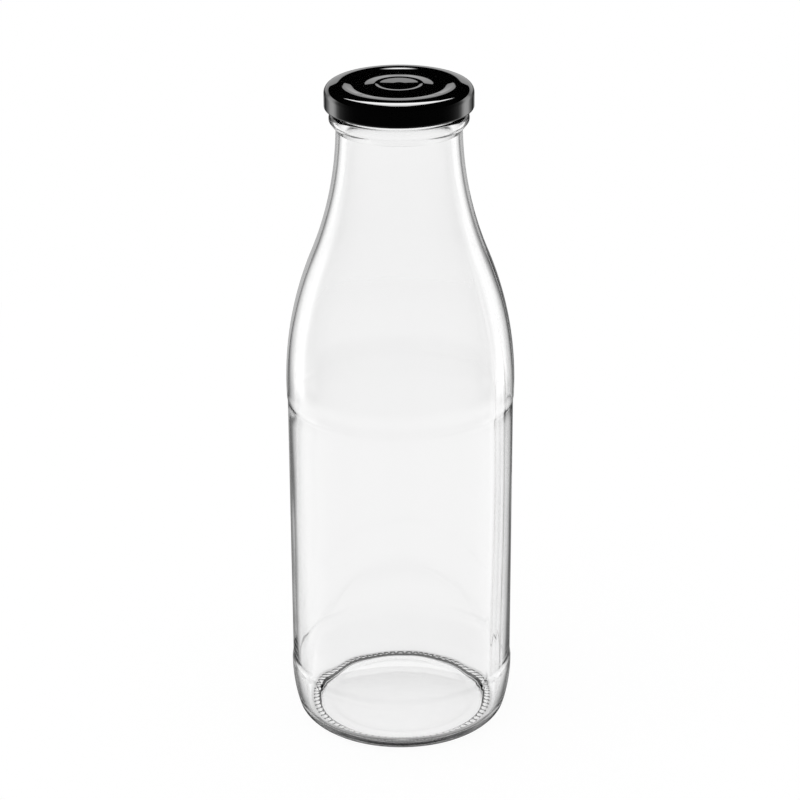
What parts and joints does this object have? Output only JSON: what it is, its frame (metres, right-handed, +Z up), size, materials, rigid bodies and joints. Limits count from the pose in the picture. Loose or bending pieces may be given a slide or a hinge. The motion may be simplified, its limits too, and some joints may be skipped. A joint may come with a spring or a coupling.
{
  "type": "glass milk bottle with twist-off lid",
  "caption": "Clear glass milk bottle with a sloping shoulder and a black lug lid that lifts off the mouth or twists down under the glass threads.",
  "frame": {"origin": "centre of the foot ring, on the surface that the bottle stands on", "axes": "+Z up along the bottle's axis, towards the lid; -Y is the front, and the first lug rests 12 degrees from +X towards +Y"},
  "size_m": [0.08, 0.08, 0.2368],
  "materials": {
    "clear_glass": "polished, colourless",
    "lid_lacquer": "black gloss lacquer on tinplate",
    "seal_compound": "soft satin plastisol"
  },
  "bodies": {
    "bottle": {"glass_bottle": "clear_glass"},
    "seal": {"lid_seal": "seal_compound"},
    "lid": {"lid_shell": "lid_lacquer"}
  },
  "joints": [
    {"name": "lid_lift", "type": "slide", "parent": "bottle", "child": "seal", "axis": [0, 0, 1], "range_m": [0, 0.06]},
    {"name": "lid_twist", "type": "hinge", "parent": "seal", "child": "lid", "pos_m": [0, 0, 0.2368], "axis": [0, 0, 1], "range_deg": [-50, 0]}
  ]
}
